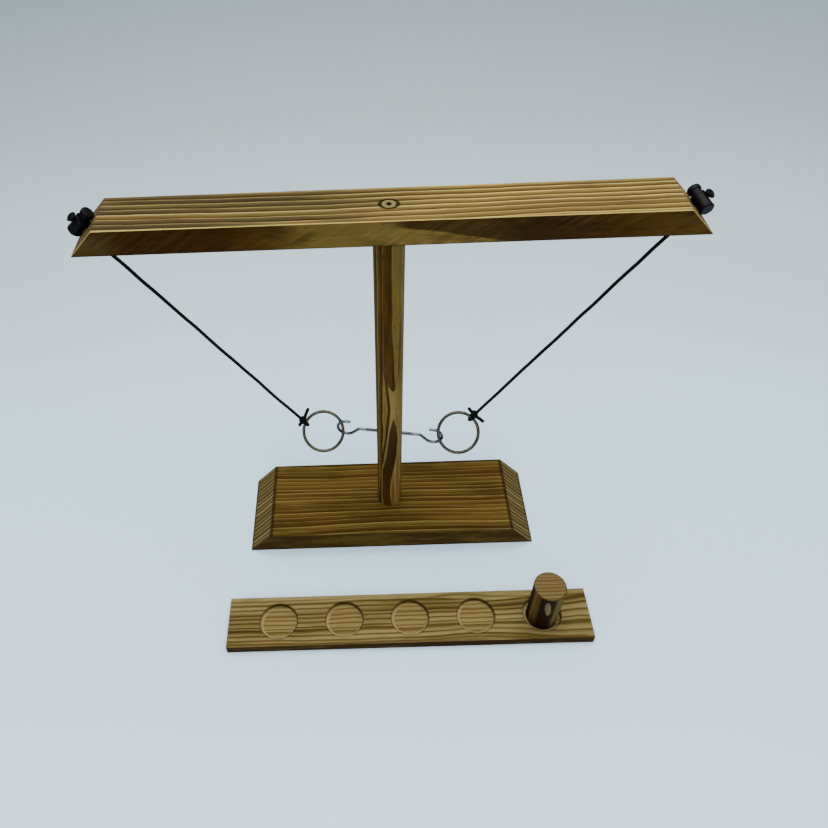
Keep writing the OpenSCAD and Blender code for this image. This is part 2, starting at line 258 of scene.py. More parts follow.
def make_knot(side):
    """A hitch round the ring's wire: a loop, a wrap round the cord and two cut ends."""
    centre, u, v = ring_axes(side)
    a = KNOT_ANGLES[side]
    tied = centre + RING_R * (math.cos(a) * u + math.sin(a) * v)
    along = (-math.sin(a) * u + math.cos(a) * v).normalized()
    out = (Vector(ROUTES[side][0]) - tied).normalized()
    across = out.cross(along).normalized()
    along = across.cross(out)
    knob = Vector(joints[side + "_ring_rock"]["pos_m"])

    def place(t, n, c):
        return tied + MM * (t * along + n * across + c * out)

    loop = KNOT_LOOP_R
    mirror = -SIDES[side]
    bight = [(0, 0, 8.2), (0, -0.2, 6.7), (-0.6, -1.5, 4.2), (-0.9, -2.5, 1.7), (-0.9, -loop, 0)]
    bight += [(-0.9 + 1.8 * k / 6, -loop * math.cos(math.pi * k / 6), -loop * math.sin(math.pi * k / 6))
              for k in range(1, 6)]
    bight += [(0.9, loop, 0), (0.9, 2.3, 1.8), (0.3, 2.0, 3.4), (-1.5, 1.6, 4.5), (-2.4, -0.2, 5.2),
              (-1.1, -2.1, 5.6), (1.2, -2, 5.3), (2.4, -0.2, 4.5), (1.4, 1.8, 4.1)]
    first = [place(mirror * t, n, c) for t, n, c in bight]
    tag = knob + MM * Vector(TAGS[side][0])
    first += [knob.lerp(tag, 0.45) + MM * 0.4 * across, tag]
    second_end = knob + MM * Vector(TAGS[side][1])
    second = [place(mirror * 1.6, 1.2, 5.4), place(0, 1.9, 4.2), knob.lerp(second_end, 0.5), second_end]
    strands = []
    for i, route in enumerate((first, second)):
        path = curve_through([tuple(p) for p in route], PATH_STEP)
        radius = braided(KNOT_CORD_D, melted=[run_of(path)])
        strands.append(sweep(f"strand_{i}", path, radius, sides=24))
    knot = join(side + "_knot_tied", strands)
    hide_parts(side + "_knot")
    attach(knot, side + "_ring")
    return knot


SLOPE = math.radians(45)
CROSSBAR_HALF = 225
CROSSBAR_BOTTOM = 350
LOCK_X = 214.5
LOCK_Z = CROSSBAR_BOTTOM + CROSSBAR_HALF - LOCK_X
LOCK_TURNS = {"left": 90, "right": 20}
LOCK_D = 10.5
LOCK_GAP = 0.3
LOCK_TOP = LOCK_D + 2 * LOCK_GAP


def at_lock(side):
    """The matrix that puts a piece on a lock's place on its sloping face."""
    sign = SIDES[side]
    place = Matrix.Translation(MM * Vector((sign * LOCK_X, 0, LOCK_Z)))
    tilt = Matrix.Rotation(sign * SLOPE, 4, "Y")
    turn = Matrix.Rotation(sign * math.radians(LOCK_TURNS[side]), 4, "Z")
    return place @ tilt @ turn


def make_end_knot(side):
    """The stop knot along the top of a lock: one turn round the cord's end, and a short tag."""
    route = [
        (0, 0, LOCK_TOP - 1), (0, 0.2, LOCK_TOP + 0.3), (0.8, 1.6, 12), (2.1, 1.5, 11.8),
        (2.5, -0.3, 11.7), (1.6, -1.8, 12.1), (0, -2, 12.3), (-1.6, -1.4, 12.1), (-2.3, 0.2, 11.8),
        (-1.5, 1.5, 12.5), (0, 0.9, 13.4), (0.9, -0.8, 13.5), (0.8, -2.4, 13), (0.6, -4.2, 12.3),
    ]
    path = curve_through([tuple(at_lock(side) @ (MM * Vector(p))) for p in route], 0.25 * MM)
    knot = sweep(side + "_end_knot_tied", path, braided(END_KNOT_CORD_D, melted=[run_of(path)]), sides=24)
    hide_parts(side + "_end_knot")
    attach(knot, "stand")
    return knot


cord_pieces = []
for side in SIDES:
    cord, path = make_cord(side)
    knot = make_knot(side)
    cord_pieces += [cord, knot, make_tail(side), make_end_knot(side)]


# ---- Rings and hooks ----------------------------------------------------------------------

def make_ring(side):
    """A welded ring: round wire with a low swelling at its weld, beside the knot."""
    centre, u, v = ring_axes(side)
    turn = np.linspace(0, 2 * math.pi, 180, endpoint=False)
    path = np.array([centre + RING_R * (math.cos(a) * u + math.sin(a) * v) for a in turn])
    weld = KNOT_ANGLES[side] + SIDES[side] * math.radians(24)
    step = 2 * RING_R * math.sin(math.pi / len(turn))

    def radius(distance, angle):
        off = (distance / step * 2 * math.pi / len(turn) - weld + math.pi) % (2 * math.pi) - math.pi
        bead = np.exp(-(off / 0.035) ** 2) - 0.5 * np.exp(-((np.abs(off) - 0.075) / 0.02) ** 2)
        return RING_WIRE_R * (1 + 0.07 * bead + 0 * angle)

    ring = sweep(side + "_ring_wire", path, radius, sides=28, closed=True)
    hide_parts(side + "_ring")
    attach(ring, side + "_ring")
    return ring


HOOK_HEIGHT = 128
HOOK_TURN = math.radians(-10)
HOOK_WIRE_R = 1.4
HOOK_REACH = 41
CURL_R = 8.5
HOOK_TIP = 4
KINK = math.radians(45)
HOOK_BEND_R = 3
THREAD = (6, 23)
THREAD_PITCH = 1.25
THREAD_START = 3


def arc(cx, cz, r, start, end, count):
    return [(cx + r * math.cos(a), cz + r * math.sin(a)) for a in np.linspace(start, end, count)]


def hook_line():
    """The middle of the hook's wire in its own plane, in millimetres from the post's axis."""
    drop = CURL_R * math.sin(KINK)
    joint_x = HOOK_REACH - CURL_R * math.cos(KINK)
    bend_x = joint_x - drop - HOOK_BEND_R * math.tan(KINK / 2)
    line = [(THREAD_START, 0), (bend_x, 0)]
    line += arc(bend_x, -HOOK_BEND_R, HOOK_BEND_R, math.pi / 2, math.pi / 2 - KINK, 9)[1:]
    line += arc(HOOK_REACH, 0, CURL_R, KINK - math.pi, math.pi / 2, 60)
    line.append((HOOK_REACH - HOOK_TIP, CURL_R))
    return [(x, 0, z) for x, z in line]


def make_hook(side):
    """A bent screw hook with a rolled helical thread and a rounded tip."""
    line = spaced(np.array(hook_line()), 0.16)
    length = run_of(line)
    turn = Matrix.Rotation(HOOK_TURN + (math.pi if side == "left" else 0), 3, "Z")
    path = [MM * (turn @ Vector(p) + Vector((0, 0, HOOK_HEIGHT))) for p in line]

    def radius(distance, angle):
        x = THREAD_START + distance / MM
        point = np.clip((x - THREAD_START + 0.1) / 3, 0, 1)
        helix = (x / THREAD_PITCH - angle / (2 * math.pi)) % 1
        ridge = np.clip(1 - np.abs(helix - 0.5) / 0.3, 0, 1)
        fade = np.clip((x - THREAD[0]) / 1.5, 0, 1) * np.clip((THREAD[1] - x) / 1.5, 0, 1)
        to_tip = np.clip((length - distance / MM) / HOOK_WIRE_R, 0, 1)
        rounded = np.sqrt(np.clip(1 - (1 - to_tip) ** 2, 0.0004, 1))
        return MM * (HOOK_WIRE_R * point * rounded + 0.4 * ridge * fade)

    hook = sweep(side + "_hook_wire", [tuple(p) for p in path], radius, sides=24)
    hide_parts(side + "_hook")
    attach(hook, "stand")
    return hook


rings = [make_ring(side) for side in SIDES]
hooks = [make_hook(side) for side in SIDES]


# ---- Lock springs -------------------------------------------------------------------------

COIL_R = 2.9
COIL_WIRE_R = 0.25
COIL_START, COIL_END = 4.8, 9
COIL_TURNS = 3.5
COIL_STEPS = 24


def make_spring(side):
    """A coil of spring wire inside the lock, fixed to the lock's body."""
    middle = LOCK_D / 2 + LOCK_GAP
    steps = int(COIL_TURNS * COIL_STEPS)
    coil = []
    for i in range(steps + 1):
        a = 2 * math.pi * i / COIL_STEPS
        depth = COIL_START + (COIL_END - COIL_START) * i / steps
        coil.append((COIL_R * math.cos(a), -depth, middle + COIL_R * math.sin(a)))
    path = [tuple(at_lock(side) @ (MM * Vector(p))) for p in coil]
    spring = sweep(side + "_lock_coil", path, lambda distance, angle: COIL_WIRE_R * MM + 0 * distance,
                   sides=10)
    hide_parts(side + "_lock_spring")
    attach(spring, side + "_lock")
    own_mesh(spring)
    return spring


springs = [make_spring(side) for side in SIDES]


# ---- Materials ----------------------------------------------------------------------------

def colour(text):
    """A web colour as the linear numbers that a shader takes."""
    parts = [int(text[i:i + 2], 16) / 255 for i in (1, 3, 5)]
    return tuple(((c + 0.055) / 1.055) ** 2.4 if c > 0.04045 else c / 12.92 for c in parts) + (1,)


class Shader:
    """A Principled material put together by short calls. mm is the place in millimetres."""

    def __init__(self, name, **settings):
        self.material = bpy.data.materials.new(name)
        self.material.use_nodes = True
        self.tree = self.material.node_tree
        self.tree.nodes.clear()
        out = self.node("ShaderNodeOutputMaterial")
        self.bsdf = self.node("ShaderNodeBsdfPrincipled")
        self.tree.links.new(self.bsdf.outputs[0], out.inputs["Surface"])
        for socket, value in settings.items():
            self.bsdf.inputs[socket.replace("_", " ")].default_value = value
        self.coords = self.node("ShaderNodeTexCoord")
        self.mm = self.vector("SCALE", self.coords.outputs["Object"], scale=1000)

    def node(self, kind, **settings):
        made = self.tree.nodes.new(kind)
        for name, value in settings.items():
            setattr(made, name, value)
        return made

    def put(self, socket, value):
        if isinstance(value, bpy.types.NodeSocket):
            self.tree.links.new(value, socket)
        else:
            socket.default_value = value

    def math(self, operation, a, b=0.0):
        made = self.node("ShaderNodeMath", operation=operation)
        self.put(made.inputs[0], a)
        self.put(made.inputs[1], b)
        return made.outputs[0]

    def total(self, *terms):
        """The sum of numbers and of (value, weight) pairs."""
        result = 0.0
        for term in terms:
            if isinstance(term, tuple):
                term = self.math("MULTIPLY", *term)
            result = self.math("ADD", result, term)
        return result

    def product(self, first, *others):
        for other in others:
            first = self.math("MULTIPLY", first, other)
        return first

    def off(self, value, middle):
        """The distance of a value from a middle."""
        return self.math("ABSOLUTE", self.math("SUBTRACT", value, middle))

    def vector(self, operation, a, b=(0, 0, 0), scale=1.0):
        made = self.node("ShaderNodeVectorMath", operation=operation)
        self.put(made.inputs[0], a)
        if operation == "SCALE":
            self.put(made.inputs["Scale"], scale)
        else:
            self.put(made.inputs[1], b)
        return made.outputs["Value" if operation == "LENGTH" else "Vector"]

    def split(self, vector):
        made = self.node("ShaderNodeSeparateXYZ")
        self.put(made.inputs[0], vector)
        return made.outputs

    def combine(self, x, y, z):
        made = self.node("ShaderNodeCombineXYZ")
        for socket, value in zip(made.inputs, (x, y, z)):
            self.put(socket, value)
        return made.outputs[0]

    def noise(self, place, stretch, detail=2.0, rough=0.5, shift=0.0):
        """A smooth random value about 0.5. stretch is in cycles per unit along each axis."""
        moved = self.vector("ADD", self.vector("MULTIPLY", place, stretch), (shift, shift, shift))
        made = self.node("ShaderNodeTexNoise")
        self.put(made.inputs["Vector"], moved)
        made.inputs["Scale"].default_value = 1
        made.inputs["Detail"].default_value = detail
        made.inputs["Roughness"].default_value = rough
        return made.outputs[0]

    def ramp(self, value, stops):
        """Colours or greys at the given stops from 0 to 1."""
        made = self.node("ShaderNodeValToRGB")
        elements = made.color_ramp.elements
        while len(elements) < len(stops):
            elements.new(0.5)
        for element, (at, shade) in zip(elements, stops):
            element.position = at
        for element, (at, shade) in zip(elements, stops):
            element.color = colour(shade) if isinstance(shade, str) else (shade, shade, shade, 1)
        self.put(made.inputs[0], value)
        return made.outputs[0]

    def between(self, value, low, high, kind="SMOOTHSTEP"):
        """0 at low, 1 at high, smooth between."""
        made = self.node("ShaderNodeMapRange", interpolation_type=kind)
        self.put(made.inputs["Value"], value)
        made.inputs["From Min"].default_value = low
        made.inputs["From Max"].default_value = high
        return made.outputs[0]

    def along_ramp(self, value, stops):
        """The same as ramp, with the stops given in the value's own unit."""
        low, high = stops[0][0], stops[-1][0]
        inner = [((at - low) / (high - low), shade) for at, shade in stops]
        return self.ramp(self.between(value, low, high, "LINEAR"), inner)

    def profile(self, value, points):
        """A line drawn through points (value, result)."""
        low, high = min(r for v, r in points), max(r for v, r in points)
        grey = self.along_ramp(value, [(v, (r - low) / (high - low)) for v, r in points])
        return self.total((grey, high - low), low)

    def mix(self, factor, a, b, blend="MIX"):
        made = self.node("ShaderNodeMix", data_type="RGBA", blend_type=blend)
        self.put(made.inputs[0], factor)
        self.put(made.inputs[6], colour(a) if isinstance(a, str) else a)
        self.put(made.inputs[7], colour(b) if isinstance(b, str) else b)
        return made.outputs[2]

    def finish(self, base, rough=None, height=None, bump=0.3, depth=0.1 * MM):
        self.put(self.bsdf.inputs["Base Color"], base)
        if rough is not None:
            self.put(self.bsdf.inputs["Roughness"], rough)
        if height is not None:
            made = self.node("ShaderNodeBump")
            made.inputs["Strength"].default_value = bump
            made.inputs["Distance"].default_value = depth
            self.put(made.inputs["Height"], height)
            self.tree.links.new(made.outputs[0], self.bsdf.inputs["Normal"])
        return self.material


def dye(node_or_piece, material):
    mesh = node_or_piece.data
    mesh.materials.clear()
    mesh.materials.append(material)


# ---- Torched and brushed pine -------------------------------------------------------------

class Pine(Shader):
    """Pine as a solid: growth rings about a pith line that runs along the grain. Each ring
    starts with its phase at 0, on the pith's side. pith is the line's place across the grain, in mm."""

    def __init__(self, name, grain, pith, spacing, sway, ripple, uneven, shift, warp=None):
        super().__init__(name, Specular_IOR_Level=0.015)
        self.shift = shift
        self.x, self.y, self.z = self.split(self.mm)
        self.grain, a, b = (self.x, self.y, self.z) if grain == "X" else (self.z, self.x, self.y)
        if warp is not None:
            a = self.math("ADD", a, warp(self))
        self.place = self.combine(self.grain, a, b)
        swayed = []
        for k, value in enumerate((a, b)):
            slow = self.noise(self.place, (0.006, 0.012, 0.012), 1, 0.4, shift + 17 * k)
            quick = self.noise(self.place, (0.03, 0.05, 0.05), 2, 0.5, shift + 31 * k + 5)
            swayed.append(self.total(value, -pith[k] - 2 * sway - 2 * ripple, (slow, 4 * sway),
                                     (quick, 4 * ripple)))
        radius = self.vector("LENGTH", self.combine(swayed[0], swayed[1], 0.0))
        rings = self.math("DIVIDE", radius, spacing)
        varied = self.noise(self.combine(rings, 0.0, shift), (0.9, 1, 1), 1, 0.5, shift)
        rings = self.total(rings, -uneven, (varied, 2 * uneven))
        self.phase = self.math("FRACT", rings)
        self.number = self.math("FLOOR", rings)
        self.fibre = self.noise(self.place, (0.05, 2.2, 2.2), 4, 0.6, shift)
        along = self.combine(self.math("MULTIPLY", self.grain, 0.007), rings, 0.0)
        self.streak = self.noise(along, (1, 2.6, 1), 3, 0.65, shift + 3)
        facing = self.split(self.coords.outputs["Normal"])
        self.upward = self.between(facing[2], 0.35, 0.5)
        self.level = self.between(facing[2], 0.85, 0.95)
        self.sideways = self.between(self.math("ABSOLUTE", facing[0]), 0.45, 0.55)

    def cloud(self, stretch, low, high, shift, detail=3):
        """A mask of soft patches in the directions (along the grain, across it, across it)."""
        return self.between(self.noise(self.place, stretch, detail, 0.55, self.shift + shift), low, high)

    def by_ring(self, shift=0.0):
        """A value about 0.5 that changes from ring to ring and slowly along each."""
        place = self.combine(self.math("MULTIPLY", self.number, 3.7),
                             self.math("MULTIPLY", self.grain, 0.004), self.shift + shift)
        return self.noise(place, (1, 1, 1), 1)

    def weathered(self, base):
        """Fine fibres, streaks along the rings and short dark flecks over a colour."""
        fine = self.ramp(self.fibre, [(0.3, 0.7), (0.5, 1.0), (0.72, 1.15)])
        base = self.mix(0.8, base, fine, "MULTIPLY")
        streak = self.ramp(self.streak, [(0.3, 0.66), (0.42, 0.92), (0.56, 1.0), (0.7, 1.3)])
        base = self.mix(0.85, base, streak, "MULTIPLY")
        fleck = self.noise(self.place, (0.1, 1.3, 1.3), 3, 0.6, self.shift + 70)
        return self.mix(0.7, base, self.ramp(fleck, [(0.0, 1.0), (0.6, 1.0), (0.72, 0.6)]), "MULTIPLY")

    def finish_wood(self, base, ridges=None):
        """Sets a brushed surface: low ridges at the rings' hard lines and fine fibres."""
        if ridges is None:
            ridges = [(0.0, 1.0), (0.12, 0.8), (0.3, 0.2), (0.88, 0.1), (1.0, 1.0)]
        height = self.total((self.ramp(self.phase, ridges), 0.6), (self.fibre, 0.5))
        rough = self.ramp(self.fibre, [(0.3, 0.68), (0.7, 0.52)])
        return self.finish(self.weathered(base), rough, height, bump=0.35, depth=0.12 * MM)


def bar_top(s):
    """Thin bright lines, each turning tan and then dark towards the front; golden at the right."""
    brown = s.ramp(s.phase, [(0, "#978450"), (0.07, "#7b6942"), (0.13, "#54462a"), (0.5, "#43361c"),
                             (0.9, "#2b210f"), (0.965, "#33280f"), (1, "#978450")])
    dull = s.ramp(s.phase, [(0, "#8a7849"), (0.07, "#6d5e3c"), (0.13, "#463b26"), (0.5, "#392f1d"),
                            (0.9, "#251d0e"), (0.965, "#2b2210"), (1, "#8a7849")])
    tan = s.ramp(s.phase, [(0, "#a9935a"), (0.08, "#8c7847"), (0.16, "#6b5a34"), (0.55, "#54441f"),
                           (0.92, "#382b11"), (0.965, "#473818"), (1, "#a9935a")])
    gold = s.ramp(s.phase, [(0, "#cdb76c"), (0.08, "#a8914f"), (0.18, "#7a6535"), (0.55, "#5e4c26"),
                            (0.92, "#382b10"), (0.965, "#4b3c1a"), (1, "#cdb76c")])
    left = s.mix(s.between(s.by_ring(), 0.42, 0.56), dull, brown)
    left = s.mix(s.between(s.by_ring(9), 0.48, 0.6), left, tan)
    right = s.mix(s.between(s.by_ring(4), 0.36, 0.55), tan, gold)
    wander = s.noise(s.place, (0.008, 0.05, 0.05), 2, 0.5, s.shift + 60)
    base = s.mix(s.between(s.total(s.x, -50, (wander, 100)), -50, 70), left, right)
    base = s.mix(s.math("MULTIPLY", s.cloud((0.02, 0.12, 0.12), 0.5, 0.68, 80), 0.45), base, "#3b3020")
    base = s.mix(s.math("MULTIPLY", s.between(s.y, -20.6, -21.3), 0.75), base, "#b49e58")
    base = s.mix(s.math("MULTIPLY", s.between(s.y, 20.9, 21.6), 0.85), base, "#281d0c")
    # Scorched, torn wood round the screw head, with painted shade in the gap round it.
    from_screw = s.vector("LENGTH", s.combine(s.math("MULTIPLY", s.x, 0.86), s.y, 0.0))
    scorch_and_shade_outline = s.math("SUBTRACT", s.between(from_screw, 4, 4.4), s.between(from_screw, 6.2, 7.4))
    return s.mix(s.math("MULTIPLY", scorch_and_shade_outline, 0.9), base, "#171006")


def bar_front(s):
    """A flat-sawn face: soft dark brown and olive patches with faint saw marks. Its darkness is partly the
    wood's own tone and partly painted shade, for a face turned from the light above.
    """
    wander = s.noise(s.place, (0.02, 0.05, 0.06), 4, 0.6, s.shift + 100)
    x = s.total(s.x, -35, (wander, 70))
    base = s.along_ramp(x, [
        (-225, "#4a3a1b"), (-205, "#3f2d12"), (-188, "#381f07"), (-110, "#392007"), (-85, "#452d0f"),
        (-62, "#675024"), (0, "#6f582b"), (60, "#6a5226"), (100, "#59441c"), (122, "#41290d"),
        (160, "#40290d"), (190, "#4b3313"), (225, "#453012"),
    ])
    line = s.total(s.z, -368.5, (s.x, 0.2), (wander, 6))
    streak = s.product(s.between(line, 0, 2), s.between(s.x, -4, 14), s.between(s.x, 150, 100))
    base = s.mix(s.math("MULTIPLY", streak, 0.85), base, "#301d0b")
    blot = s.cloud((0.03, 0.12, 0.12), 0.5, 0.66, 120)
    base = s.mix(s.math("MULTIPLY", blot, 0.3), base, "#22140a")
    saw = s.noise(s.combine(s.total((s.x, 0.6), (s.z, -0.9)), s.y, s.z), (0.4, 0.03, 0.03), 2, 0.6)
    sawn = s.cloud((0.015, 0.05, 0.05), 0.42, 0.58, 130)
    base = s.mix(sawn, base, s.ramp(saw, [(0.36, 0.74), (0.5, 1.0), (0.64, 1.3)]), "MULTIPLY")
    base = s.mix(s.math("MULTIPLY", s.between(s.z, 351.2, 350.3), 0.8), base, "#160d04")
    return base


def bar_material():
    """The crossbar's wood: lined on top, plain in front, with pale rims on its sloping ends."""
    s = Pine("torched_bar", "X", (190, 360), 6.0, sway=2.5, ripple=0.5, uneven=0.5, shift=2)
    # The front face's darker colours are partly the wood's own tone and partly painted shade, for a face
    # turned from the light above.
    base = s.mix(s.upward, bar_front(s), bar_top(s))
    rim = s.product(s.between(s.math("ABSOLUTE", s.y), 20.7, 21.4), s.sideways, 0.8)
    return s.finish_wood(s.mix(rim, base, "#8f7c48"))


def base_material():
    """Olive-brown, with thin light lines, scorched borders and paler end grain."""
    def warp(s):
        bow = s.between(s.off(s.x, 10), 110, 0)
        return s.product(bow, s.between(s.y, 20, -40), -2.5)

    s = Pine("torched_base", "X", (210, 12), 5.1, sway=2, ripple=0.35, uneven=0.5, shift=4, warp=warp)
    light = s.ramp(s.phase, [(0, "#86743f"), (0.08, "#655228"), (0.18, "#57461f"), (0.7, "#4d3b15"),
                             (0.92, "#3a2a0c"), (0.97, "#5c4b24"), (1, "#86743f")])
    dark = s.ramp(s.phase, [(0, "#73623a"), (0.08, "#54431e"), (0.18, "#463514"), (0.7, "#3c2b0e"),
                            (0.92, "#2c1d07"), (0.97, "#493818"), (1, "#73623a")])
    top = s.mix(s.between(s.by_ring(), 0.43, 0.57), dark, light)
    top = s.mix(s.math("MULTIPLY", s.cloud((0.015, 0.05, 0.05), 0.5, 0.68, 90), 0.4), top, "#2f1f09")
    ends = s.ramp(s.phase, [(0, "#87784a"), (0.14, "#6c5d34"), (0.34, "#52431f"), (0.8, "#433416"),
                            (0.93, "#382a10"), (1, "#87784a")])
    front = s.mix(s.cloud((0.02, 0.1, 0.1), 0.4, 0.62, 110), "#3f2b0c", "#544017")
    front = s.mix(s.between(s.z, 23.6, 24.6), front, "#56461f")
    front = s.mix(s.math("MULTIPLY", s.between(s.z, 3, 0.4), 0.8), front, "#150d05")
    base = s.mix(s.upward, front, s.mix(s.level, ends, top))
    x = s.math("ABSOLUTE", s.x)
    border = s.between(s.off(x, 121.5), 2.6, 0.8)
    back = s.product(s.level, s.between(s.y, 42.6, 44.2))
    border = s.product(s.upward, s.math("MAXIMUM", border, back), 0.75)
    base = s.mix(border, base, "#1c1207")
    return s.finish_wood(s.mix(s.product(s.between(x, 141.5, 144), s.upward, 0.6), base, "#2b1f0e"))


def post_material():
    """A dark band that ends in a V, and a dark lens below it, on olive wood with fine stripes."""
    s = Pine("torched_post", "Z", (4, 60), 3.4, sway=1.5, ripple=0.4, uneven=0.3, shift=9)
    wander = s.noise(s.place, (0.02, 0.2, 0.2), 3, 0.5, 33)
    x = s.total(s.x, -1.5, (wander, 3))
    stripes = s.ramp(s.phase, [(0, "#876d38"), (0.25, "#654a1d"), (0.7, "#432a0b"), (0.9, "#3a2208"),
                               (1, "#876d38")])
    plain = s.mix(s.cloud((0.01, 0.25, 0.25), 0.4, 0.62, 15), "#6a5024", "#86693a")
    base = s.mix(s.between(x, -6.5, -4.5), stripes, plain)
    low = s.profile(s.z, [(25, -8), (90, -5.5), (130, -2.5), (170, 0.5), (205, -1.5), (240, -5.5),
                          (350, -6)])
    neck = s.between(s.off(x, s.math("SUBTRACT", low, 1.4)), 1.7, 0.6)
    base = s.mix(s.product(neck, s.between(s.z, 260, 200), 0.9), base, "#2d1a09")
    base = s.mix(s.product(s.between(s.off(x, s.math("ADD", low, 1.3)), 1.1, 0.3),
                           s.between(s.z, 262, 235), 0.7), base, "#8a7640")
    band_left = s.profile(s.z, [(193, 3.2), (196, 0.8), (202, -1.4), (212, -3.2), (228, -4.8), (260, -5.4),
                                (350, -4.8)])
    band_right = s.profile(s.z, [(193, 3.4), (196, 4.6), (204, 5), (218, 4), (235, 2.8), (260, 2.1),
                                 (350, 1.7)])
    inside = s.product(s.between(s.math("SUBTRACT", x, band_left), -0.3, 0.5),
                       s.between(s.math("SUBTRACT", band_right, x), -0.3, 0.5), s.between(s.z, 192, 195))
    tone = s.mix(s.cloud((0.015, 0.3, 0.3), 0.4, 0.6, 25), "#311804", "#472b0b")
    base = s.mix(s.math("MULTIPLY", inside, 0.92), base, tone)
    fold = s.profile(s.z, [(193, 3.6), (197, 5), (204, 6.2), (219, 7.4), (250, 8.6), (350, 10.5)])
    within = s.product(s.between(s.math("SUBTRACT", fold, x), 0, 1), s.between(x, 0, 3),
                       s.between(s.z, 193, 198))
    base = s.mix(s.product(within, s.math("SUBTRACT", 1.0, inside), 0.75), base, "#6b5425")
    crease = s.product(s.between(s.off(x, fold), 1.3, 0.2), s.between(s.z, 192, 196),
                       s.between(s.z, 300, 250))
    base = s.mix(s.math("MULTIPLY", crease, 0.6), base, "#3f2d13")
    middle = s.profile(s.z, [(25, -3), (50, -3.6), (81, -2), (105, 1.2), (127, 2.7), (158, 3.4)])
    width = s.profile(s.z, [(25, 4), (50, 3.4), (81, 4.6), (105, 5.2), (127, 4.8), (145, 2.8), (159, 0)])
    inset = s.math("SUBTRACT", width, s.off(x, middle))
    lens = s.product(s.between(inset, -0.4, 0.6), s.between(s.z, 161, 157))
    around = s.product(s.between(s.off(inset, -0.9), 0.9, 0.3), s.between(s.z, 168, 158))
    base = s.mix(s.math("MULTIPLY", around, 0.6), base, "#86723d")
    base = s.mix(s.math("MULTIPLY", lens, 0.9), base,
                 s.along_ramp(s.z, [(25, "#46260b"), (75, "#2f1705"), (115, "#281405"), (160, "#3d240b")]))
    spots = s.noise(s.place, (0.07, 0.45, 0.45), 2, 0.6, 44)
    base = s.mix(s.math("MULTIPLY", s.between(spots, 0.64, 0.7), 0.55), base, "#33230f")
    base = s.mix(s.math("MULTIPLY", s.between(s.off(s.x, 0), 10.6, 12), 0.35), base, "#2b1d0b")
    return s.finish_wood(base)


RECESS_PITCH = 62
FIRST_RECESS = 13.5 - 2 * RECESS_PITCH
BOARD_MIDDLE_Y = -130


def board_material():
    """Tan, with thin dark lines; paler in the recesses and dark in front. Round each recess there is
    painted light on the side toward the lamp and painted shade on the far side.
    """
    def warp(s):
        fan = s.product(s.between(s.x, 70, 190), s.total(s.y, 140), -0.35)
        return s.total(fan, (s.between(s.off(s.x, 95), 60, 0), -2))

    s = Pine("torched_board", "X", (150, 5), 4.6, sway=2.2, ripple=0.6, uneven=0.8, shift=13, warp=warp)
    pale = s.ramp(s.phase, [(0, "#44361a"), (0.14, "#54441f"), (0.34, "#73633a"), (0.62, "#807048"),
                            (0.86, "#6b5b33"), (1, "#44361a")])
    deep = s.ramp(s.phase, [(0, "#35270e"), (0.16, "#443414"), (0.38, "#5e4d28"), (0.65, "#6c5c35"),
                            (0.86, "#564625"), (1, "#35270e")])
    top = s.mix(s.between(s.by_ring(), 0.36, 0.56), deep, pale)
    back_band = s.between(s.total(s.y, (s.between(s.off(s.x, 90), 70, 0), 5)), -110.5, -107.5)
    top = s.mix(s.math("MULTIPLY", back_band, 0.7), top, "#827248")
    wave = s.total(s.y, (s.between(s.off(s.x, 60), 45, 0), -3.5))
    streak = s.product(s.between(s.off(wave, -111.2), 1.5, 0.3), s.between(s.x, -60, -10))
    top = s.mix(s.math("MULTIPLY", streak, 0.6), top, "#3f3013")
    front_band = s.product(s.between(s.y, -150, -153), s.cloud((0.012, 0.1, 0.1), 0.35, 0.55, 75))
    top = s.mix(s.math("MULTIPLY", front_band, 0.65), top, "#493818")
    top = s.mix(s.math("MULTIPLY", s.cloud((0.015, 0.07, 0.07), 0.5, 0.68, 70), 0.45), top, "#4b3b1b")
    floors = s.ramp(s.phase, [(0, "#52421f"), (0.2, "#63522b"), (0.45, "#76653a"), (0.75, "#7d6c42"),
                              (1, "#52421f")])
    turn = s.math("DIVIDE", s.math("SUBTRACT", s.x, FIRST_RECESS - RECESS_PITCH / 2), RECESS_PITCH)
    across = s.total((s.math("FRACT", turn), RECESS_PITCH), -RECESS_PITCH / 2)
    back = s.math("SUBTRACT", s.y, BOARD_MIDDLE_Y)
    away = s.vector("LENGTH", s.combine(across, back, 0.0))
    toward_light = s.between(s.math("DIVIDE", s.total(across, back), away), 0.9, -0.9)
    sunk = s.between(s.z, 9.6, 9.2)
    # A pale ring on each recess floor near its wall: unburnt pine, made brighter toward the lamp as
    # painted light.
    unburnt_and_lit_rim = s.product(s.between(away, 13.8, 16.4), s.total(0.1, (toward_light, 0.8)))
    floors = s.mix(unburnt_and_lit_rim, floors, "#95845a")
    row_half = 2.5 * RECESS_PITCH
    row = s.between(s.off(s.x, FIRST_RECESS + 2 * RECESS_PITCH), row_half, row_half - 0.2)
    # A scorched rim round each recess, made darker on the side away from the lamp as painted shade.
    scorch_and_shade_outline = s.product(s.math("SUBTRACT", s.between(away, 17.1, 17.5), s.between(away, 18, 18.9)),
                        s.total(0.75, (toward_light, -0.35)), row)
    top = s.mix(scorch_and_shade_outline, top, "#241a0b")
    # The recess walls: painted light on the wall that faces the lamp, painted shade on the far wall.
    lit_and_shaded_wall = s.mix(toward_light, "#4a3b1c", "#93824c")
    front = s.mix(s.cloud((0.02, 0.15, 0.15), 0.52, 0.66, 110), "#321f07", "#4c3a18")
    front = s.mix(s.math("MULTIPLY", s.between(s.z, 1.6, 0.3), 0.7), front, "#150d05")
    sides = s.mix(s.between(away, 18.5, 17.9), front, lit_and_shaded_wall)
    base = s.mix(s.upward, sides, s.mix(sunk, top, floors))
    return s.finish_wood(base, [(0.0, 0.0), (0.2, 0.4), (0.5, 1.0), (0.88, 0.9), (1.0, 0.0)])


PEG_AXIS = (137.5, -130)
PEG_TOP = 61


